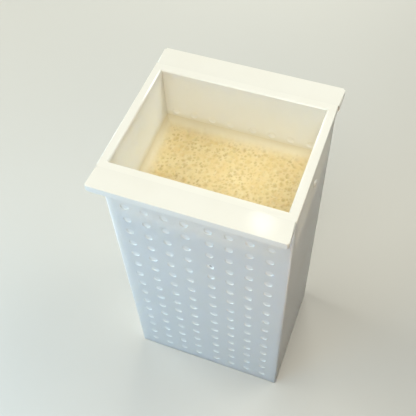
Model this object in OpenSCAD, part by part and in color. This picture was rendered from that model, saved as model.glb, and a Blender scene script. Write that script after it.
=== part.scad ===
// Tall box mold that drains and shapes a block of cheese, made up from plastic sheet.
// Millimetres. The origin is the middle of the underside, the front is -Y and up is +Z.

/* [Body] */
// Outside width of the body, left to right
body_width = 99; // [95:1:140]
// Outside depth of the body, front to back
body_depth = 75; // [65:1:110]
// Height from the underside to the rim
body_height = 200; // [196:1:260]
// Thickness of the four wall sheets
wall_thickness = 4.5; // [4:0.1:6]
// Rounding of the upright outside edges
edge_radius = 1; // [0.5:0.1:2]

/* [Rim] */
// How far the flange bars stand out in front and behind
flange_reach = 12.5; // [8:0.5:25]
// Thickness of the flange bars and of the side lips
flange_thickness = 4; // [3:0.5:6]
// How far the rim stands out past the left and right walls
rim_lip = 0.5; // [0.2:0.1:1.5]
// Extra length at the right end of the back flange bar
back_flange_extra = 0.7; // [0.2:0.1:3]
// Plan rounding of the flange bars' outer corners
flange_corner = 1; // [0.5:0.1:4]

/* [Drain holes] */
// Diameter of the drain holes in the front and back walls
hole_diameter = 4; // [3:0.1:5]
// Columns of holes on each side of the middle
side_columns = 4; // [2:1:4]
// Distance between neighbouring columns
column_pitch = 10.9; // [8:0.1:11]
// Distance between the two middle columns
middle_gap = 13; // [8:0.5:14]
// Rows of holes, bottom to top
row_count = 15; // [5:1:15]
// Distance between neighbouring rows
row_pitch = 11.45; // [8:0.05:11.6]
// Height of the lowest row above the underside
lowest_row = 10; // [9:0.5:14]

/* [Base] */
// Thickness of the base plate
base_thickness = 6; // [4:0.5:6.5]
// Diameter of the drain holes in the base plate
base_hole_diameter = 5; // [3:0.5:8]
// Columns of holes in the base plate
base_columns = 6; // [2:1:6]
// Rows of holes in the base plate
base_rows = 4; // [2:1:4]
// Distance between holes in the base plate
base_pitch = 13; // [10:0.5:14]

/* [Side studs] */
// Diameter of a stud's head
stud_head_diameter = 4.2; // [3.6:0.1:8]
// How far a stud stands out of the wall
stud_height = 1.2; // [0.8:0.1:3]
// Diameter of a stud's shank
stud_shank_diameter = 3; // [2:0.1:3.4]
// Depth of the shank's hole in the wall
stud_depth = 3; // [2:0.1:3.5]
// Distance from the rim down to the studs
stud_drop = 18; // [12:1:40]

/* [Cheese] */
// Distance from the rim down to the top of the cheese
cheese_drop = 40; // [15:1:150]
// Gap between the cheese and each wall
cheese_gap = 0.4; // [0.3:0.1:2]

/* [Hidden] */
hole_sides = 20;
round_sides = 32;
cut_past = 1;
inside_width = body_width - 2 * wall_thickness;
inside_depth = body_depth - 2 * wall_thickness;
rim_width = body_width + 2 * rim_lip;
rim_underside = body_height - flange_thickness;

// Distance of a hole column from the middle, counted outwards from 0
function column_offset(index) = middle_gap / 2 + index * column_pitch;

// Height of a hole row above the underside, counted upwards from 0
function row_height(index) = lowest_row + index * row_pitch;

// Full-width wall in front of the cavity, with its drain holes and rounded upright edges
module drained_wall() {
    outer_face = -body_depth / 2;
    difference() {
        union() {
            translate([-body_width / 2 + edge_radius, outer_face, 0])
                cube([body_width - 2 * edge_radius, wall_thickness, body_height]);
            translate([-body_width / 2, outer_face + edge_radius, 0])
                cube([body_width, wall_thickness - edge_radius, body_height]);
            for (side = [-1, 1])
                translate([side * (body_width / 2 - edge_radius), outer_face + edge_radius, 0])
                    cylinder(r = edge_radius, h = body_height, $fn = round_sides);
        }
        for (side = [-1, 1], column = [0 : side_columns - 1], row = [0 : row_count - 1])
            translate([side * column_offset(column), outer_face - cut_past, row_height(row)])
                rotate([-90, 0, 0])
                    cylinder(d = hole_diameter, h = wall_thickness + 2 * cut_past, $fn = hole_sides);
    }
}

// Plain wall on the right of the cavity, with the rim's lip and a blind hole for the stud
module plain_wall() {
    outer_face = body_width / 2;
    difference() {
        union() {
            translate([outer_face - wall_thickness, -inside_depth / 2, 0])
                cube([wall_thickness, inside_depth, body_height]);
            translate([outer_face, -body_depth / 2, rim_underside])
                cube([rim_lip, body_depth, flange_thickness]);
        }
        translate([outer_face - stud_depth, 0, body_height - stud_drop])
            rotate([0, 90, 0])
                cylinder(d = stud_shank_diameter, h = stud_depth + cut_past, $fn = hole_sides);
    }
}

// Flange bar in front of the body, its outer corners rounded in plan
module flange_bar(left_end, right_end) {
    bar_length = right_end - left_end;
    front_edge = -body_depth / 2 - flange_reach;
    translate([left_end + flange_corner, front_edge, rim_underside])
        cube([bar_length - 2 * flange_corner, flange_reach, flange_thickness]);
    translate([left_end, front_edge + flange_corner, rim_underside])
        cube([bar_length, flange_reach - flange_corner, flange_thickness]);
    for (corner_x = [left_end + flange_corner, right_end - flange_corner])
        translate([corner_x, front_edge + flange_corner, rim_underside])
            cylinder(r = flange_corner, h = flange_thickness, $fn = round_sides);
}

// Stud in the right wall: a shank in the blind hole and a low head outside
module wall_stud() {
    translate([body_width / 2, 0, body_height - stud_drop])
        rotate([0, 90, 0]) {
            translate([0, 0, -stud_depth])
                cylinder(d = stud_shank_diameter, h = stud_depth, $fn = hole_sides);
            cylinder(d = stud_head_diameter, h = stud_height / 2, $fn = round_sides);
            translate([0, 0, stud_height / 2])
                cylinder(
                    d1 = stud_head_diameter, d2 = stud_head_diameter - stud_height,
                    h = stud_height / 2, $fn = round_sides
                );
        }
}

module front_wall() {
    color("whitesmoke")
        drained_wall();
}

module back_wall() {
    color("whitesmoke")
        rotate([0, 0, 180])
            drained_wall();
}

module right_wall() {
    color("white")
        plain_wall();
}

module left_wall() {
    color("white")
        rotate([0, 0, 180])
            plain_wall();
}

module base_plate() {
    color("gainsboro")
        difference() {
            translate([-inside_width / 2, -inside_depth / 2, 0])
                cube([inside_width, inside_depth, base_thickness]);
            for (column = [0 : base_columns - 1], row = [0 : base_rows - 1])
                translate([
                    (column - (base_columns - 1) / 2) * base_pitch,
                    (row - (base_rows - 1) / 2) * base_pitch,
                    -cut_past
                ])
                    cylinder(d = base_hole_diameter, h = base_thickness + 2 * cut_past, $fn = hole_sides);
        }
}

module front_flange() {
    color("ivory")
        flange_bar(-rim_width / 2, rim_width / 2);
}

// Turned half round, so the extra length at its left end comes out at the right
module back_flange() {
    color("ivory")
        rotate([0, 0, 180])
            flange_bar(-rim_width / 2 - back_flange_extra, rim_width / 2);
}

module right_stud() {
    color("lightgray")
        wall_stud();
}

module left_stud() {
    color("lightgray")
        rotate([0, 0, 180])
            wall_stud();
}

module cheese_block() {
    color("khaki")
        translate([cheese_gap - inside_width / 2, cheese_gap - inside_depth / 2, base_thickness])
            cube([
                inside_width - 2 * cheese_gap,
                inside_depth - 2 * cheese_gap,
                body_height - cheese_drop - base_thickness
            ]);
}

front_wall();
back_wall();
left_wall();
right_wall();
base_plate();
front_flange();
back_flange();
left_stud();
right_stud();
cheese_block();
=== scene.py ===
import math

import bmesh
import bpy
from mathutils import Matrix, Vector


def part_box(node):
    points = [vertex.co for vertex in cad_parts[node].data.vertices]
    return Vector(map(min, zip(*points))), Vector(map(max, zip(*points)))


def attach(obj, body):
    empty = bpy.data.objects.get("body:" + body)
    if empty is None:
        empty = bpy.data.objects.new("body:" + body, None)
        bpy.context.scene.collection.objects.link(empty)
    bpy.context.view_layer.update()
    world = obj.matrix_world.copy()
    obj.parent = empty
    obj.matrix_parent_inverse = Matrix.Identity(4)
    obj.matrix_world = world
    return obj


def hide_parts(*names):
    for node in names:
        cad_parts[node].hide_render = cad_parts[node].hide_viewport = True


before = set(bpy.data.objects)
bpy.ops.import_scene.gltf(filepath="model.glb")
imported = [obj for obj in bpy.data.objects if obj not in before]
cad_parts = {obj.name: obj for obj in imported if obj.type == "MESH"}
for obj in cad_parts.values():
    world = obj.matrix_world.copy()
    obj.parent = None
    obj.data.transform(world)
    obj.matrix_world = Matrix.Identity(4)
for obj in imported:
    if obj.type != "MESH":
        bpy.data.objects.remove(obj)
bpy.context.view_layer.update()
mm = 0.001
print("cheese mold: frame loaded,", len(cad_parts), "nodes")


# small helpers for node trees, shared by the geometry and the finishes
def feed(tree, node, values):
    for key, value in values.items():
        socket = node.inputs[key]
        if isinstance(value, bpy.types.NodeSocket):
            tree.links.new(value, socket)
        else:
            socket.default_value = value


def addNode(tree, kind, values=None, **settings):
    node = tree.nodes.new(kind)
    for key, value in settings.items():
        setattr(node, key, value)
    feed(tree, node, values or {})
    return node


def calc(tree, operation, *terms):
    return addNode(tree, "ShaderNodeMath", dict(enumerate(terms)), operation=operation).outputs[0]


def mixColour(tree, share, first, second):
    return addNode(tree, "ShaderNodeMix", {0: share, 6: first, 7: second}, data_type="RGBA").outputs[2]


def remap(tree, value, low, high, toLow=0.0, toHigh=1.0, curve="LINEAR"):
    return addNode(tree, "ShaderNodeMapRange", {
        "Value": value, "From Min": low, "From Max": high, "To Min": toLow, "To Max": toHigh,
    }, interpolation_type=curve).outputs[0]


def noise(tree, place, scale, detail, roughness=0.5):
    return addNode(tree, "ShaderNodeTexNoise", {
        "Vector": place, "Scale": scale, "Detail": detail, "Roughness": roughness,
    }).outputs[0]


def startFinish(name):
    finish = bpy.data.materials.new(name)
    finish.use_nodes = True
    return finish, finish.node_tree, finish.node_tree.nodes["Principled BSDF"]


# natural white sheet: cloudy tint, uneven sheen, fine grain and faint upright drag marks
sheetFinish = {
    "clean": (0.955, 0.935, 0.89, 1),
    "dull": (0.93, 0.905, 0.85, 1),
    # painted shade: the drilled walls' outer faces are darkened, so their holes read brighter than the wall
    "outerPaintedShade": (0.78, 0.77, 0.745, 1),
    "outerPaintedShadeShare": 0.5,                   # how much of it is on the outer faces
    # whiter curd in the holes: painted light that brightens the bores
    "plug": (0.97, 0.955, 0.915, 1),
    "cloudScale": 26.0,
    "grainScale": 1500.0,
    "dragScale": 420.0,
    "glow": (0.05, 0.8),                # share of light that goes into the plastic, least and most
    "glowDepth": 12.0 * mm,
    "plugGlow": 0.25,                   # part of the glow that is left in the holes
    "gloss": 0.5,
    "seams": (45.0 * mm, 33.0 * mm),    # half width and half depth between the inner faces
    "seamFade": 8.0 * mm,               # the inner faces glow less near corners and cheese
    "faceSlack": 0.1 * mm,
    "rimLine": 199.5 * mm,              # no glow in the rim above this height
    "rimFade": 2.0 * mm,
    "curdFilm": (0.89, 0.85, 0.74, 1),
    "curdLine": 163.5 * mm,             # height of the film the sinking curd left on the inner faces
    "curdSlope": 0.079,                 # the line climbs towards the back
    "curdWander": 2.0 * mm,
    "curdUp": 5.0 * mm,                 # fades out over this height above the line
    "curdDown": (25.0 * mm, 3.0 * mm),  # and between these depths below it
    "curdReach": (45.1 * mm, 36.0 * mm),   # half width and half depth of what the curd touched
}


# soft band of dried curd round the inside, strongest at the top of the cheese
def curdStain(tree, spot, level, cloud):
    look = sheetFinish
    line, wander = look["curdLine"], look["curdWander"]
    inside = 1.0
    for axis, reach in zip(spot, look["curdReach"]):
        within = remap(tree, calc(tree, "ABSOLUTE", axis), reach, reach + 0.05 * mm, 1.0, 0.0)
        inside = calc(tree, "MULTIPLY", within, inside)
    above = calc(tree, "SUBTRACT", level, remap(tree, cloud, 0.3, 0.7, -wander, wander))
    fadeUp = remap(tree, above, line + look["curdUp"], line, curve="SMOOTHSTEP")
    fadeDown = remap(tree, above, line - look["curdDown"][0], line - look["curdDown"][1], 0.3, 1.0)
    return calc(tree, "MULTIPLY", calc(tree, "MULTIPLY", fadeUp, fadeDown), inside)


# across is the axis a wall runs along, drilled holds what the holes need
def sheetPlastic(name, across=None, drilled=None):
    look = sheetFinish
    slack = look["faceSlack"]
    finish, tree, shader = startFinish(name)
    place = addNode(tree, "ShaderNodeTexCoord").outputs["Object"]
    spot = addNode(tree, "ShaderNodeSeparateXYZ", {0: place}).outputs
    level = calc(tree, "SUBTRACT", spot[2], calc(tree, "MULTIPLY", spot[1], look["curdSlope"]))
    cloud = noise(tree, place, look["cloudScale"], 4.0, 0.55)
    grain = noise(tree, place, look["grainScale"], 2.0)
    tall = addNode(tree, "ShaderNodeMapping", {"Vector": place, "Scale": (1, 1, 0.05)}).outputs[0]
    drag = noise(tree, tall, look["dragScale"], 3.0, 0.6)
    colour = mixColour(tree, remap(tree, cloud, 0.45, 0.75), look["clean"], look["dull"])
    colour = mixColour(tree, curdStain(tree, spot, level, cloud), colour, look["curdFilm"])
    if drilled:                        # curd dried in the holes, coloured whiter than the sheet as painted light in the bores; one hole has a dark spot
        depth = calc(tree, "ABSOLUTE", spot[1])
        outside = calc(tree, "GREATER_THAN", depth, drilled["outerFace"] - slack)
        inside = calc(tree, "LESS_THAN", depth, drilled["innerFace"] + slack)
        end = calc(tree, "GREATER_THAN", calc(tree, "ABSOLUTE", spot[0]), look["seams"][0])
        top = calc(tree, "GREATER_THAN", spot[2], drilled["aboveHoles"])
        flat = calc(tree, "MAXIMUM", calc(tree, "ADD", outside, inside), calc(tree, "MAXIMUM", end, top))
        # painted shade on the outer faces of the drilled walls
        colour = mixColour(tree, calc(tree, "MULTIPLY", outside, look["outerPaintedShadeShare"]), colour, look["outerPaintedShade"])
        # painted light: the bores and dishes take the whiter plug colour
        colour = mixColour(tree, flat, look["plug"], colour)
        away = addNode(tree, "ShaderNodeVectorMath", {
            0: place, 1: drilled["darkSpotPlace"],
        }, operation="DISTANCE").outputs["Value"]
        # a dark grey spot on the floor of one hole
        darkSpot = remap(tree, away, drilled["darkSpotSize"] * 0.7, drilled["darkSpotSize"], 1.0, 0.0)
        colour = mixColour(tree, darkSpot, colour, drilled["darkSpotColour"])
    smear = remap(tree, drag, 0.3, 0.7, 0.0, 0.08)
    sheen = calc(tree, "ADD", remap(tree, cloud, 0.3, 0.7, 0.30, 0.40), smear)
    relief = calc(tree, "ADD", calc(tree, "MULTIPLY", grain, 0.5), drag)
    bump = addNode(tree, "ShaderNodeBump", {"Height": relief, "Strength": 0.12, "Distance": 0.15 * mm})
    feed(tree, shader, {
        "Base Color": colour, "Roughness": sheen, "Normal": bump.outputs[0], "IOR": 1.5,
        "Subsurface Radius": (1.0, 0.95, 0.82), "Subsurface Scale": look["glowDepth"],
    })
    if across is not None:
        seam, face = look["seams"][across], look["seams"][1 - across]
        aside = remap(tree, calc(tree, "ABSOLUTE", spot[across]), seam, seam - look["seamFade"])
        above = remap(tree, level, look["curdLine"], look["curdLine"] + look["seamFade"])
        outer = calc(tree, "GREATER_THAN", calc(tree, "ABSOLUTE", spot[1 - across]), face + slack)
        share = calc(tree, "MAXIMUM", outer, calc(tree, "MULTIPLY", aside, above))
        lift = calc(tree, "MULTIPLY_ADD", outer, look["rimFade"], spot[2])    # fades lower down outside
        low = remap(tree, lift, look["rimLine"], look["rimLine"] - look["rimFade"])
        share = calc(tree, "MULTIPLY", share, low)
        if drilled:
            share = calc(tree, "MULTIPLY", share, remap(tree, flat, 0.0, 1.0, look["plugGlow"], 1.0))
        feed(tree, shader, {"Subsurface Weight": remap(tree, share, 0.0, 1.0, *look["glow"])})
    else:                              # bars, base plate and studs: rubbed smooth, so they catch the light
        feed(tree, shader, {
            "Subsurface Weight": look["glow"][0], "Coat Weight": look["gloss"], "Coat Roughness": 0.1,
        })
    return finish


# moist yellow cheese: blotchy paste, brown painted shade down in the openings, pinholes all over with
# painted shade in them
cheeseFinish = {
    "paste": (0.815, 0.65, 0.345, 1),
    "pale": (0.855, 0.715, 0.435, 1),
    "curd": (0.89, 0.78, 0.535, 1),
    "film": (0.84, 0.77, 0.61, 1),
    "skinAndLight": (0.96, 0.95, 0.91, 1),      # where it was pressed against the walls, whitened as painted light for the hole bottoms
    # brown painted shade for the openings and pinholes
    "deep": (0.56, 0.42, 0.155, 1),
    "blotchScale": 120.0,
    "gritScale": 1100.0,
    "curdScale": 420.0,
    "pinholeScale": 420.0,
    "glow": 0.3,
    "glowDepth": 2.5 * mm,
}


def cheesePaste(name):
    look = cheeseFinish
    finish, tree, shader = startFinish(name)
    place = addNode(tree, "ShaderNodeTexCoord").outputs["Object"]
    blotch = noise(tree, place, look["blotchScale"], 4.0, 0.6)
    grit = noise(tree, place, look["gritScale"], 3.0, 0.65)
    curds = noise(tree, place, look["curdScale"], 2.0)
    cells = addNode(tree, "ShaderNodeTexVoronoi", {"Vector": place, "Scale": look["pinholeScale"]})
    keep = addNode(tree, "ShaderNodeSeparateColor", {0: cells.outputs["Color"]}).outputs[0]
    pinSize = remap(tree, keep, 0.55, 1.0, 0.0, 0.34)
    pinhole = remap(tree, calc(tree, "SUBTRACT", pinSize, cells.outputs["Distance"]), 0.0, 0.12)
    fine, broad, film, skinAndLight = (
        addNode(tree, "ShaderNodeAttribute", attribute_name=word).outputs["Fac"]
        for word in ("fineOpening", "broadOpening", "wallFilm", "pressedSkin")
    )
    colour = mixColour(tree, remap(tree, blotch, 0.35, 0.7), look["paste"], look["pale"])
    colour = mixColour(tree, remap(tree, curds, 0.5, 0.72, 0.0, 0.5), colour, look["curd"])
    strength = remap(tree, blotch, 0.38, 0.62, 0.25, 0.8)      # some openings are only hinted at
    # painted shade: the openings and pinholes are darkened towards the deep brown
    shade = calc(tree, "MAXIMUM", fine, calc(tree, "MULTIPLY", broad, 0.8))
    shade = calc(tree, "MULTIPLY", shade, strength)
    shade = calc(tree, "MAXIMUM", shade, calc(tree, "MULTIPLY", pinhole, 0.3))
    colour = mixColour(tree, shade, colour, look["deep"])
    colour = mixColour(tree, film, colour, look["film"])
    # pressed skin on the sides, whitened beyond the paste as painted light so the hole bottoms read bright
    skinAndLight = calc(tree, "MULTIPLY", skinAndLight, remap(tree, blotch, 0.3, 0.7, 1.0, 0.8))
    colour = mixColour(tree, skinAndLight, colour, look["skinAndLight"])
    bare = calc(tree, "SUBTRACT", 1.0, film)                   # no grit and no glow in the thin film
    height = calc(tree, "SUBTRACT", calc(tree, "MULTIPLY", grit, 0.6), pinhole)
    height = calc(tree, "MULTIPLY", height, bare)
    bump = addNode(tree, "ShaderNodeBump", {"Height": height, "Strength": 0.35, "Distance": 0.5 * mm})
    feed(tree, shader, {
        "Base Color": colour, "Roughness": remap(tree, blotch, 0.3, 0.7, 0.38, 0.55),
        "Normal": bump.outputs[0], "IOR": 1.44,
        "Subsurface Weight": calc(tree, "MULTIPLY", bare, look["glow"]),
        "Subsurface Radius": (1.0, 0.7, 0.3), "Subsurface Scale": look["glowDepth"],
    })
    return finish


# small helpers for meshes, sizes in metres
def boxForm(low, high):
    form = bmesh.new()
    bmesh.ops.create_cube(form, size=1.0)
    for corner in form.verts:
        corner.co = [a if c < 0 else b for c, a, b in zip(corner.co, low, high)]
    return form


def bridgeLoops(form, loops):
    count = len(loops[0])
    for one, two in zip(loops, loops[1:]):
        for k in range(count):
            form.faces.new((one[k], one[(k + 1) % count], two[(k + 1) % count], two[k]))


def roundEdges(form, wanted, radius, segments=3):
    edges = [edge for edge in form.edges if wanted(edge.verts[0].co, edge.verts[1].co)]
    bmesh.ops.bevel(form, geom=edges, offset=radius, segments=segments, profile=0.5, affect="EDGES")


def near(a, b):
    return abs(a - b) < 1e-6


def toObject(form, name):
    mesh = bpy.data.meshes.new(name)
    bmesh.ops.recalc_face_normals(form, faces=form.faces)
    form.to_mesh(mesh)
    form.free()
    piece = bpy.data.objects.new(name, mesh)
    bpy.context.collection.objects.link(piece)
    return piece


# the big flat faces stay flat, only the roundings and bores are shaded smooth
def shadeRoundings(mesh):
    for face in mesh.polygons:
        face.use_smooth = max(abs(c) for c in face.normal) < 0.9995


def finishPiece(piece, body, slot, *nodes):
    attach(piece, body)
    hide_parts(*nodes)
    print(piece.name, len(piece.data.polygons), "faces")


# a geometry tree with named inputs, closed by plain geometry in one finish
def startTree(name, inputs):
    tree = bpy.data.node_groups.new(name, "GeometryNodeTree")
    for label, kind in inputs:
        tree.interface.new_socket(label, in_out="INPUT", socket_type="NodeSocket" + kind)
    tree.interface.new_socket(inputs[0][0], in_out="OUTPUT", socket_type="NodeSocketGeometry")
    return tree, addNode(tree, "NodeGroupInput").outputs


def endTree(tree, made, finish):
    plain = addNode(tree, "GeometryNodeRealizeInstances", {0: made})
    dressed = addNode(tree, "GeometryNodeSetMaterial", {"Geometry": plain.outputs[0], "Material": finish})
    addNode(tree, "NodeGroupOutput", {0: dressed.outputs[0]})


# runs a geometry tree on a piece and keeps the result as its plain mesh
def runTree(piece, tree, values):
    modifier = piece.modifiers.new(tree.name, "NODES")
    modifier.node_group = tree
    sockets = {item.name: item.identifier for item in tree.interface.items_tree if item.in_out == "INPUT"}
    for name, value in values.items():
        modifier[sockets[name]] = value
    view = bpy.context.evaluated_depsgraph_get()
    view.update()
    made = bpy.data.meshes.new_from_object(
        piece.evaluated_get(view), preserve_all_data_layers=True, depsgraph=view)
    made.name = piece.name
    piece.modifiers.remove(modifier)
    piece.data = made


# a grid of hole cutters and a mouth cutter, taken out of an upright sheet that faces -Y
def drainTree():
    tree, given = startTree("drainHoles", (
        ("Sheet", "Geometry"), ("Hole Cutter", "Object"), ("Mouth Cutter", "Object"), ("Columns", "Int"),
        ("Rows", "Int"), ("Column Pitch", "Float"), ("Middle Gap", "Float"), ("Row Pitch", "Float"),
        ("Lowest Row", "Float"), ("Finish", "Material"),
    ))
    wide = calc(tree, "MULTIPLY", calc(tree, "SUBTRACT", given["Columns"], 1), given["Column Pitch"])
    tall = calc(tree, "MULTIPLY", calc(tree, "SUBTRACT", given["Rows"], 1), given["Row Pitch"])
    grid = addNode(tree, "GeometryNodeMeshGrid", {
        "Size X": wide, "Size Y": tall, "Vertices X": given["Columns"], "Vertices Y": given["Rows"],
    })
    place = addNode(tree, "GeometryNodeInputPosition").outputs[0]
    spot = addNode(tree, "ShaderNodeSeparateXYZ", {0: place}).outputs
    spread = calc(tree, "MULTIPLY", calc(tree, "SUBTRACT", given["Middle Gap"], given["Column Pitch"]), 0.5)
    across = calc(tree, "ADD", spot[0], calc(tree, "MULTIPLY", calc(tree, "SIGN", spot[0]), spread))
    up = calc(tree, "ADD", spot[1], calc(tree, "MULTIPLY", tall, 0.5))
    up = calc(tree, "ADD", up, given["Lowest Row"])
    points = addNode(tree, "GeometryNodeSetPosition", {
        "Geometry": grid.outputs["Mesh"],
        "Position": addNode(tree, "ShaderNodeCombineXYZ", {"X": across, "Z": up}).outputs[0],
    })
    hole = addNode(tree, "GeometryNodeObjectInfo", {"Object": given["Hole Cutter"]})
    mouth = addNode(tree, "GeometryNodeObjectInfo", {"Object": given["Mouth Cutter"]})
    holes = addNode(tree, "GeometryNodeInstanceOnPoints", {
        "Points": points.outputs[0], "Instance": hole.outputs["Geometry"],
    })
    cutters = addNode(tree, "GeometryNodeJoinGeometry")
    tree.links.new(holes.outputs[0], cutters.inputs[0])
    tree.links.new(mouth.outputs["Geometry"], cutters.inputs[0])
    solid = addNode(tree, "GeometryNodeRealizeInstances", {0: cutters.outputs[0]})
    cut = addNode(tree, "GeometryNodeMeshBoolean", {
        "Mesh 1": given["Sheet"], "Mesh 2": solid.outputs[0],
    }, operation="DIFFERENCE", solver="EXACT")
    endTree(tree, cut.outputs["Mesh"], given["Finish"])
    return tree


# rings of a cutter from outside a face down past the rounded rim, in the direction given
def rimRings(face, into, radius, rounding, steps=2):
    clear, skim = 1.0 * mm, 0.01 * mm
    rings = [(face - into * clear, radius + rounding), (face - into * skim, radius + rounding)]
    for k in range(1, steps + 1):
        turn = k / steps * math.pi / 2
        sunk = rounding * (1 - math.cos(turn))
        rings.append((face + into * sunk, radius + rounding * (1 - math.sin(turn))))
    return rings


# spool along Y: the bore, with its rims rounded over at both faces
# with a plug of dried curd left in the bore it falls into two shallow dishes
def holeCutter(name, frontFace, backFace, radius, rounding, sides, plug=None):
    front = rimRings(frontFace, 1, radius, rounding)
    if plug:
        floorRadius = radius * plug["floorShare"]
        front.append((frontFace + plug["sunk"], floorRadius))
        back = rimRings(backFace, -1, radius, plug["innerRounding"], 1)
        back.append((backFace - plug["innerSunk"], floorRadius))
        shells = (front, back)
    else:
        shells = (front + rimRings(backFace, -1, radius, rounding)[::-1],)
    form = bmesh.new()
    for rings in shells:
        loops = []
        for y, r in rings:
            loops.append([
                form.verts.new((r * math.cos(a), y, r * math.sin(a)))
                for a in (2 * math.pi * k / sides for k in range(sides))
            ])
        bridgeLoops(form, loops)
        form.faces.new(loops[0])
        form.faces.new(loops[-1])
    return toObject(form, name)


# bar along X that rounds over the sheet's inner top edge, mitred into the side walls' roundings
def mouthCutter(name, halfLength, innerFace, top, radius):
    past = 1.0 * mm
    steps = 5
    levels = []
    for k in range(steps + 1):
        turn = k / steps * math.pi / 2
        levels.append((radius * (1 - math.cos(turn)), top - radius * (1 - math.sin(turn))))
    levels.append((radius, top + past))
    form = bmesh.new()
    cut, hollow = [], []                     # ends on the mitre lines, ends out in the hollow
    for into, z in levels:
        for ends, y in ((cut, innerFace - into), (hollow, innerFace + past)):
            ends.append([form.verts.new((side * (halfLength + into), y, z)) for side in (-1, 1)])
    for k in range(len(levels) - 1):
        form.faces.new((cut[k][0], cut[k][1], cut[k + 1][1], cut[k + 1][0]))
        form.faces.new((hollow[k][0], hollow[k][1], hollow[k + 1][1], hollow[k + 1][0]))
        for side in (0, 1):
            form.faces.new((cut[k][side], cut[k + 1][side], hollow[k + 1][side], hollow[k][side]))
    for k in (0, -1):
        form.faces.new((cut[k][0], cut[k][1], hollow[k][1], hollow[k][0]))
    return toObject(form, name)


# front and back walls: full-width drilled sheets
drainedWall = {
    "holeDiameter": 4.0 * mm,
    "holeRounding": 0.4 * mm,
    "holeSides": 16,
    "columns": 8,
    "columnPitch": 10.9 * mm,
    "middleGap": 13.0 * mm,
    "rows": 15,
    "rowPitch": 11.45 * mm,
    "lowestRow": 10.0 * mm,
    "edgeRounding": 0.8 * mm,
    "mouthRounding": 1.0 * mm,
    "plug": {               # curd dried in the holes, its flat floor as a share of the bore
        "sunk": 0.42 * mm, "innerSunk": 0.45 * mm, "innerRounding": 0.25 * mm, "floorShare": 0.5,
    },
    "darkSpotColumn": 4,       # counted from 0 at the left
    "darkSpotRow": 11,         # counted from 0 at the bottom
    "darkSpotSize": 0.9 * mm,
    "darkSpotColour": (0.42, 0.40, 0.38, 1),
}
drainHoles = drainTree()
sheetWhite = sheetPlastic("sheetWhite")
plainWhite = sheetPlastic("plainWhite", 1)


def buildDrainedWalls():
    size = drainedWall
    low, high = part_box("front_wall")
    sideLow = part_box("right_wall")[0]
    spool = holeCutter(
        "spoolCutter", low[1], high[1], size["holeDiameter"] / 2, size["holeRounding"], size["holeSides"],
        size["plug"])
    mouth = mouthCutter("mouthCutter", sideLow[0], high[1], high[2], size["mouthRounding"])
    fromMiddle = size["darkSpotColumn"] - size["columns"] // 2
    drilledWhite = sheetPlastic("drilledWhite", 0, {
        "darkSpotPlace": (
            size["middleGap"] / 2 + fromMiddle * size["columnPitch"],
            low[1] + size["plug"]["sunk"],
            size["lowestRow"] + size["darkSpotRow"] * size["rowPitch"],
        ),
        "darkSpotSize": size["darkSpotSize"],
        "darkSpotColour": size["darkSpotColour"],
        "outerFace": -low[1],
        "innerFace": -high[1],
        "aboveHoles": size["lowestRow"] + size["rows"] * size["rowPitch"],
    })
    for name, node, turn in (
        ("frontWallSheet", "front_wall", 0.0), ("backWallSheet", "back_wall", math.pi),
    ):
        form = boxForm(low, high)
        roundEdges(
            form, lambda a, b: near(a.x, b.x) and near(a.y, low[1]) and near(b.y, low[1]),
            size["edgeRounding"])
        wall = toObject(form, name)
        runTree(wall, drainHoles, {
            "Hole Cutter": spool, "Mouth Cutter": mouth, "Columns": size["columns"], "Rows": size["rows"],
            "Column Pitch": size["columnPitch"], "Middle Gap": size["middleGap"],
            "Row Pitch": size["rowPitch"], "Lowest Row": size["lowestRow"], "Finish": drilledWhite,
        })
        wall.data.transform(Matrix.Rotation(turn, 4, "Z"))
        shadeRoundings(wall.data)
        finishPiece(wall, "mold", "mold_plastic", node)
    for cutter in (spool, mouth):
        bpy.data.objects.remove(cutter)


buildDrainedWalls()


# side walls: plain sheets with the rim's lip and a rounded mouth edge
sideWall = {"lip": 0.5 * mm, "lipHeight": 4.0 * mm, "lipRounding": 0.45 * mm, "mouthRounding": 1.0 * mm}


def buildSideWalls():
    size = sideWall
    low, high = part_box("right_wall")
    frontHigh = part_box("front_wall")[1]
    outer = high[0] - size["lip"]
    for name, node, turn in (
        ("rightWallSheet", "right_wall", 0.0), ("leftWallSheet", "left_wall", math.pi),
    ):
        form = boxForm((low[0], frontHigh[1], low[2]), (outer, -frontHigh[1], high[2]))
        roundEdges(
            form, lambda a, b: all(near(c.x, low[0]) and near(c.z, high[2]) for c in (a, b)),
            size["mouthRounding"], 5)
        lip = boxForm((outer, low[1], high[2] - size["lipHeight"]), (high[0], high[1], high[2]))
        roundEdges(
            lip, lambda a, b: near(a.x, high[0]) and near(b.x, high[0]) and near(a.z, b.z),
            size["lipRounding"])
        strip = bpy.data.meshes.new("lipStrip")
        lip.to_mesh(strip)
        lip.free()
        form.from_mesh(strip)
        bpy.data.meshes.remove(strip)
        wall = toObject(form, name)
        wall.data.transform(Matrix.Rotation(turn, 4, "Z"))
        wall.data.materials.append(plainWhite)
        shadeRoundings(wall.data)
        finishPiece(wall, "mold", "mold_plastic", node)


buildSideWalls()


# flange bars: flat bars with rounded outer corners, every free edge eased
flangeBar = {"cornerRadius": 1.0 * mm, "cornerSteps": 6, "edgeRounding": 0.9 * mm}


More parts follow.
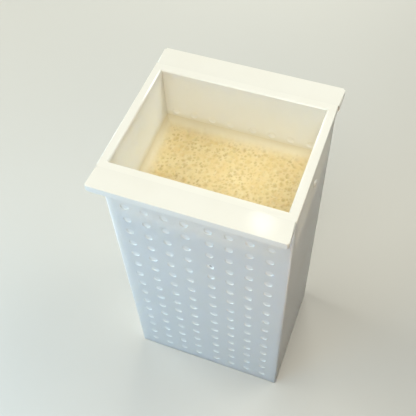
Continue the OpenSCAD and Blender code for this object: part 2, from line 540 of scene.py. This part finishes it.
def buildFlangeBar(name, node):
    size = flangeBar
    low, high = (Vector(c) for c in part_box(node))
    seam = high.y if high.y < 0 else low.y        # the side that meets the wall
    free = low.y if high.y < 0 else high.y
    inward = 1 if seam > free else -1
    radius, steps = size["cornerRadius"], size["cornerSteps"]
    outline = [(low.x, seam)]
    for middle, start in ((low.x + radius, math.pi), (high.x - radius, math.pi * 1.5)):
        for k in range(steps + 1):
            a = start + k / steps * math.pi / 2
            outline.append((middle + radius * math.cos(a), free + inward * (radius + radius * math.sin(a))))
    outline.append((high.x, seam))
    form = bmesh.new()
    bottom = [form.verts.new((x, y, low.z)) for x, y in outline]
    top = [form.verts.new((x, y, high.z)) for x, y in outline]
    form.faces.new(bottom)
    form.faces.new(top)
    bridgeLoops(form, (bottom, top))
    roundEdges(
        form, lambda a, b: near(a.z, b.z) and not (near(a.y, seam) and near(b.y, seam)),
        size["edgeRounding"], 4)
    bar = toObject(form, name)
    bar.data.materials.append(sheetWhite)
    shadeRoundings(bar.data)
    finishPiece(bar, "mold", "mold_plastic", node)


buildFlangeBar("frontFlangeBar", "front_flange")
buildFlangeBar("backFlangeBar", "back_flange")


# base plate: drilled floor under the cheese, made upright and laid down
basePlate = {
    "holeDiameter": 5.0 * mm,
    "holeRounding": 0.4 * mm,
    "holeSides": 20,
    "columns": 6,
    "rows": 4,
    "pitch": 13.0 * mm,
}


def buildBasePlate():
    size = basePlate
    low, high = (Vector(c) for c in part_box("base_plate"))
    thick = high.z - low.z
    spool = holeCutter(
        "baseCutter", 0.0, thick, size["holeDiameter"] / 2, size["holeRounding"], size["holeSides"])
    plate = toObject(boxForm((low.x, 0.0, low.y), (high.x, thick, high.y)), "basePlateSheet")
    runTree(plate, drainHoles, {
        "Hole Cutter": spool, "Columns": size["columns"], "Rows": size["rows"],
        "Column Pitch": size["pitch"], "Middle Gap": size["pitch"], "Row Pitch": size["pitch"],
        "Lowest Row": -(size["rows"] - 1) / 2 * size["pitch"], "Finish": sheetWhite,
    })
    bpy.data.objects.remove(spool)
    plate.data.transform(Matrix(((1, 0, 0, 0), (0, 0, -1, 0), (0, 1, 0, low.z), (0, 0, 0, 1))))
    shadeRoundings(plate.data)
    finishPiece(plate, "mold", "mold_plastic", "base_plate")


buildBasePlate()


# studs: shank in the wall and a low domed head
wallStud = {
    "headRadius": 2.1 * mm,
    "headHeight": 1.2 * mm,
    "headEdge": 0.2 * mm,       # upright part under the dome
    "headSteps": 6,
    "shankRadius": 1.5 * mm,
    "depth": 3.0 * mm,
    "sides": 28,
}


def buildStud(name, node, side):
    size = wallStud
    low, high = (Vector(c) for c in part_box(node))
    wallFace = (high.x if side > 0 else -low.x) - size["headHeight"]
    shoulder, wide = wallFace + size["headEdge"], size["headRadius"]
    rise = size["headHeight"] - size["headEdge"]
    profile = [(wallFace - size["depth"], size["shankRadius"]), (wallFace, size["shankRadius"])]
    profile += [(wallFace, wide), (shoulder, wide)]
    for k in range(1, size["headSteps"]):
        a = k / size["headSteps"] * math.pi / 2
        profile.append((shoulder + rise * math.sin(a), wide * math.cos(a)))
    form = bmesh.new()
    middle, sides = (low.z + high.z) / 2, size["sides"]
    loops = []
    for x, r in profile:
        loops.append([
            form.verts.new((side * x, r * math.cos(a), middle + r * math.sin(a)))
            for a in (2 * math.pi * k / sides for k in range(sides))
        ])
    bridgeLoops(form, loops)
    form.faces.new(loops[0])
    tip = form.verts.new((side * (wallFace + size["headHeight"]), 0, middle))
    for k in range(sides):
        form.faces.new((loops[-1][k], loops[-1][(k + 1) % sides], tip))
    stud = toObject(form, name)
    stud.data.materials.append(sheetWhite)
    shadeRoundings(stud.data)
    finishPiece(stud, "mold", "mold_plastic", node)


buildStud("rightStud", "right_stud", 1)
buildStud("leftStud", "left_stud", -1)


# cheese: a closed block with a fine-meshed, uneven top full of small openings
cheeseBlock = {
    "cellsAcross": 240,
    "cellsDeep": 176,
    "sideRows": 18,
    "swell": 0.37 * mm,         # pressed out to just short of the walls
    "backRise": 2.6 * mm,       # the top stands higher along the back wall
    "filmRadius": 4.2 * mm,     # curd left up the walls by the sinking top, in a hollow curve
    "filmWidth": 8.5 * mm,
    "fineSpacing": 1.6 * mm,
    "fineRadius": (0.3 * mm, 0.95 * mm),
    "fineDepth": 0.4,           # depth as a share of the radius
    "broadSpacing": 3.2 * mm,
    "broadRadius": (0.8 * mm, 1.7 * mm),
    "broadDepth": 0.3,
    "wobble": 2.4 * mm,         # bends the openings out of round
    "wobbleScale": 700.0,
    "ripple": 0.9 * mm,
    "rippleScale": 130.0,
    "topBand": 6.0 * mm,        # openings and ripple end this far below the top
    "seed": 7,
}


# one layer of openings: how deep each point of the top lies in its nearest one, and that one's radius
def openingLayer(tree, place, spread, spacing, small, large, seed):
    seeds = addNode(tree, "GeometryNodeDistributePointsOnFaces", {
        "Mesh": spread, "Distance Min": spacing, "Density Max": 600000.0, "Seed": seed,
    }, distribute_method="POISSON")
    pick = addNode(tree, "FunctionNodeRandomValue", {"Seed": seed}, data_type="FLOAT").outputs[1]
    radius = calc(tree, "MULTIPLY", pick, calc(tree, "SUBTRACT", large, small))
    radius = calc(tree, "ADD", small, radius)
    spots = addNode(tree, "GeometryNodeStoreNamedAttribute", {
        "Geometry": seeds.outputs["Points"], "Name": "openingRadius", "Value": radius,
    }, data_type="FLOAT", domain="POINT").outputs[0]
    nearest = addNode(tree, "GeometryNodeSampleNearest", {
        "Geometry": spots, "Sample Position": place,
    }).outputs[0]
    centre = addNode(tree, "GeometryNodeSampleIndex", {
        "Geometry": spots, "Value": addNode(tree, "GeometryNodeInputPosition").outputs[0], "Index": nearest,
    }, data_type="FLOAT_VECTOR", domain="POINT").outputs[0]
    named = addNode(tree, "GeometryNodeInputNamedAttribute", {"Name": "openingRadius"}, data_type="FLOAT")
    radius = addNode(tree, "GeometryNodeSampleIndex", {
        "Geometry": spots, "Value": named.outputs[0], "Index": nearest,
    }, data_type="FLOAT", domain="POINT").outputs[0]
    away = addNode(tree, "ShaderNodeVectorMath", {0: place, 1: centre}, operation="DISTANCE")
    away = calc(tree, "DIVIDE", away.outputs["Value"], radius)
    return remap(tree, away, 1.25, 0.2, curve="SMOOTHSTEP"), radius


def openingTree():
    size = cheeseBlock
    tree, given = startTree("cheeseOpenings", (
        ("Block", "Geometry"), ("Width", "Float"), ("Depth", "Float"), ("Top Low", "Float"),
        ("Fine Spacing", "Float"), ("Fine Small", "Float"), ("Fine Large", "Float"),
        ("Fine Depth", "Float"), ("Broad Spacing", "Float"), ("Broad Small", "Float"),
        ("Broad Large", "Float"), ("Broad Depth", "Float"), ("Ripple", "Float"), ("Seed", "Int"),
        ("Finish", "Material"),
    ))
    spread = addNode(tree, "GeometryNodeMeshGrid", {
        "Size X": given["Width"], "Size Y": given["Depth"], "Vertices X": 2, "Vertices Y": 2,
    }).outputs["Mesh"]
    place = addNode(tree, "GeometryNodeInputPosition").outputs[0]
    wobble = addNode(tree, "ShaderNodeTexNoise", {
        "Vector": place, "Scale": size["wobbleScale"], "Detail": 2.0,
    }).outputs["Color"]
    off = addNode(tree, "ShaderNodeVectorMath", {0: wobble, 1: (0.5, 0.5, 0.5)}, operation="SUBTRACT")
    shift = addNode(tree, "ShaderNodeVectorMath", {
        0: off.outputs[0], "Scale": size["wobble"],
    }, operation="SCALE")
    moved = addNode(tree, "ShaderNodeVectorMath", {0: place, 1: shift.outputs[0]}, operation="ADD")
    flat = addNode(tree, "ShaderNodeVectorMath", {
        0: moved.outputs[0], 1: (1, 1, 0),
    }, operation="MULTIPLY").outputs[0]
    fine, fineSize = openingLayer(
        tree, flat, spread, given["Fine Spacing"], given["Fine Small"], given["Fine Large"], given["Seed"])
    broad, broadSize = openingLayer(
        tree, flat, spread, given["Broad Spacing"], given["Broad Small"], given["Broad Large"],
        calc(tree, "ADD", given["Seed"], 1))
    height = addNode(tree, "ShaderNodeSeparateXYZ", {0: place}).outputs[2]
    film = addNode(tree, "GeometryNodeInputNamedAttribute", {"Name": "wallFilm"}, data_type="FLOAT")
    bare = calc(tree, "POWER", calc(tree, "SUBTRACT", 1.0, film.outputs[0]), 1.5)
    onTop = remap(tree, height, given["Top Low"], calc(tree, "ADD", given["Top Low"], 0.4 * mm))
    onTop = calc(tree, "MULTIPLY", onTop, bare)
    ripple = noise(tree, place, size["rippleScale"], 5.0, 0.6)
    ripple = calc(tree, "MULTIPLY", calc(tree, "SUBTRACT", ripple, 0.5), given["Ripple"])
    fineDip = calc(tree, "MULTIPLY", calc(tree, "MULTIPLY", fine, fineSize), given["Fine Depth"])
    broadDip = calc(tree, "MULTIPLY", calc(tree, "MULTIPLY", broad, broadSize), given["Broad Depth"])
    lift = calc(tree, "SUBTRACT", calc(tree, "SUBTRACT", ripple, fineDip), broadDip)
    lift = calc(tree, "MULTIPLY", lift, onTop)
    lowered = addNode(tree, "GeometryNodeSetPosition", {
        "Geometry": given["Block"],
        "Offset": addNode(tree, "ShaderNodeCombineXYZ", {"Z": lift}).outputs[0],
    }).outputs[0]
    for name, dip in (("fineOpening", fine), ("broadOpening", broad)):
        lowered = addNode(tree, "GeometryNodeStoreNamedAttribute", {
            "Geometry": lowered, "Name": name, "Value": calc(tree, "MULTIPLY", dip, onTop),
        }, data_type="FLOAT", domain="POINT").outputs[0]
    endTree(tree, lowered, given["Finish"])
    return tree


def buildCheese():
    size = cheeseBlock
    low, high = (Vector(c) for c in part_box("cheese_block"))
    swell = Vector((size["swell"], size["swell"], 0))
    low, high = low - swell, high + swell
    across, deep = size["cellsAcross"], size["cellsDeep"]
    spots, faces, films = [], [], []
    for j in range(deep + 1):
        for i in range(across + 1):
            x = low.x + (high.x - low.x) * i / across
            y = low.y + (high.y - low.y) * j / deep
            inside = min(x - low.x, high.x - x, y - low.y, high.y - y)
            hollow = max(0.0, size["filmRadius"] - inside)
            climb = size["filmRadius"] - math.sqrt(size["filmRadius"] ** 2 - hollow ** 2)
            spots.append((x, y, high.z + size["backRise"] * (2 * j / deep - 1) + climb))
            films.append(max(0.0, 1 - inside / size["filmWidth"]) ** 1.5)
    for j in range(deep):
        for i in range(across):
            a = j * (across + 1) + i
            faces.append((a, a + 1, a + across + 2, a + across + 1))
    topCount = len(spots)
    ring = list(range(across + 1))
    ring += [j * (across + 1) + across for j in range(1, deep + 1)]
    ring += [deep * (across + 1) + i for i in range(across - 1, -1, -1)]
    ring += [j * (across + 1) for j in range(deep - 1, 0, -1)]
    topRing = ring
    for row in range(1, size["sideRows"] + 1):       # the sides, row by row down from the top's edge
        part = row / size["sideRows"]
        lower = []
        for top in topRing:
            x, y, z = spots[top]
            lower.append(len(spots))
            spots.append((x, y, z + (low.z - z) * part))
            films.append(0.0)
        for k in range(len(ring)):
            n = (k + 1) % len(ring)
            faces.append((ring[n], ring[k], lower[k], lower[n]))
        ring = lower
    faces.append(tuple(reversed(ring)))
    mesh = bpy.data.meshes.new("cheeseLoaf")
    mesh.from_pydata(spots, [], faces)
    skinAndLightShares = [0.0 if k < topCount else 1.0 for k in range(len(spots))]
    for name, shares in (("wallFilm", films), ("pressedSkin", skinAndLightShares)):
        mesh.attributes.new(name, "FLOAT", "POINT").data.foreach_set("value", shares)
    loaf = bpy.data.objects.new("cheeseLoaf", mesh)
    bpy.context.collection.objects.link(loaf)
    fineSmall, fineLarge = size["fineRadius"]
    broadSmall, broadLarge = size["broadRadius"]
    runTree(loaf, openingTree(), {
        "Width": high.x - low.x, "Depth": high.y - low.y, "Top Low": high.z - size["topBand"],
        "Fine Spacing": size["fineSpacing"], "Fine Small": fineSmall, "Fine Large": fineLarge,
        "Fine Depth": size["fineDepth"], "Broad Spacing": size["broadSpacing"],
        "Broad Small": broadSmall, "Broad Large": broadLarge, "Broad Depth": size["broadDepth"],
        "Ripple": size["ripple"], "Seed": size["seed"], "Finish": cheesePaste("cheesePaste"),
    })
    for face in loaf.data.polygons:
        face.use_smooth = face.normal.z > 0.01
    for edge in loaf.data.edges:              # a clean break where the film ends on the wall
        edge.use_edge_sharp = all(films[corner] > 0.999 for corner in edge.vertices)
    finishPiece(loaf, "cheese", "cheese", "cheese_block")


buildCheese()


# floor, light and camera
paleLight = (0.975, 0.98, 0.87)
studio = {
    "floorColour": (0.62, 0.615, 0.60, 1),
    "floorBounce": (0.12, 0.12, 0.12, 1),     # what the floor sends back up at the object
    "floorSize": 3.0,
    "floorDrop": 0.05 * mm,                   # just clear of the base
    "worldColour": (1.0, 1.0, 1.0, 1),
    "worldStrength": 0.025,
    "lamps": {                                # place, aim, width, power, colour
        "highKey": ((0.05, -0.5, 1.15), (0, 0, 0.15), 0.6, 4.4, paleLight),
        "lowKey": ((0.12, -0.75, 1.0), (0, 0, 0.15), 0.5, 1.3, paleLight),
        "softLeft": ((-0.7, -0.1, 0.9), (0, 0, 0.15), 0.6, 3.7, paleLight),
        "fillRight": ((0.35, 0.2, 0.75), (0, 0, 0.18), 0.4, 2.1, paleLight),
        "lowLeft": ((-0.9, 0.1, 0.2), (0, 0, 0.15), 0.4, 3.15, paleLight),
        "lowRear": ((-0.2, 0.9, 0.2), (0, 0, 0.15), 0.5, 6.2, paleLight),
        "coolWindow": ((-0.3, -0.36, 0.16), (0, -0.03, 0.1), 0.35, 1.5, (0.48, 0.765, 1.0)),
        "warmFront": ((0.12, -0.22, 0.2), (0.04, -0.04, 0.16), 0.1, 0.072, (1.0, 0.5, 0.15)),
        "glint": ((-0.14, 0.605, 1.2), (0, 0, 0.15), 0.045, 0.1, paleLight),
    },
}


def buildFloor():
    form = bmesh.new()
    bmesh.ops.create_grid(form, x_segments=1, y_segments=1, size=studio["floorSize"])
    for corner in form.verts:
        corner.co.z = -studio["floorDrop"]
    floor = toObject(form, "paleFloor")
    finish, tree, shader = startFinish("paleFloor")
    ray = addNode(tree, "ShaderNodeLightPath").outputs
    seen = calc(tree, "MAXIMUM", ray["Is Camera Ray"], ray["Is Glossy Ray"])
    seen = calc(tree, "MAXIMUM", seen, ray["Is Transmission Ray"])
    colour = mixColour(tree, seen, studio["floorBounce"], studio["floorColour"])
    feed(tree, shader, {"Base Color": colour, "Roughness": 0.8})
    floor.data.materials.append(finish)


def addLamp(name, place, target, width, power, colour):
    lamp = bpy.data.lights.new(name, "AREA")
    lamp.shape = "DISK"
    lamp.size = width
    lamp.energy = power
    lamp.color = colour
    holder = bpy.data.objects.new(name, lamp)
    holder.location = place
    holder.rotation_euler = (Vector(target) - Vector(place)).to_track_quat("-Z", "Y").to_euler()
    bpy.context.collection.objects.link(holder)


def buildStudio():
    for name, values in studio["lamps"].items():
        addLamp(name, *values)
    world = bpy.data.worlds.new("studioAir")
    world.use_nodes = True
    sky = world.node_tree.nodes["Background"]
    sky.inputs["Color"].default_value = studio["worldColour"]
    sky.inputs["Strength"].default_value = studio["worldStrength"]
    bpy.context.scene.world = world
    bpy.context.scene.view_settings.view_transform = "Standard"


# camera fitted to the picture's edges: place, right, up and back axes
viewpoint = {
    "place": (0.078979, -0.201241, 0.446107),
    "right": (0.93558, 0.35116, -0.03711),
    "up": (-0.26791, 0.77435, 0.57325),
    "back": (0.23004, -0.52638, 0.81854),
    "lens": 57.36,
    "sensor": 36.0,
}


def buildCamera():
    camera = bpy.data.cameras.new("viewCamera")
    camera.sensor_width = viewpoint["sensor"]
    camera.sensor_fit = "HORIZONTAL"
    camera.lens = viewpoint["lens"]
    camera.clip_start = 0.01
    holder = bpy.data.objects.new("viewCamera", camera)
    axes = Matrix([viewpoint["right"], viewpoint["up"], viewpoint["back"]]).transposed()
    holder.matrix_world = Matrix.Translation(viewpoint["place"]) @ axes.to_4x4()
    bpy.context.collection.objects.link(holder)
    bpy.context.scene.camera = holder


buildFloor()
buildStudio()
buildCamera()
print("studio ready")
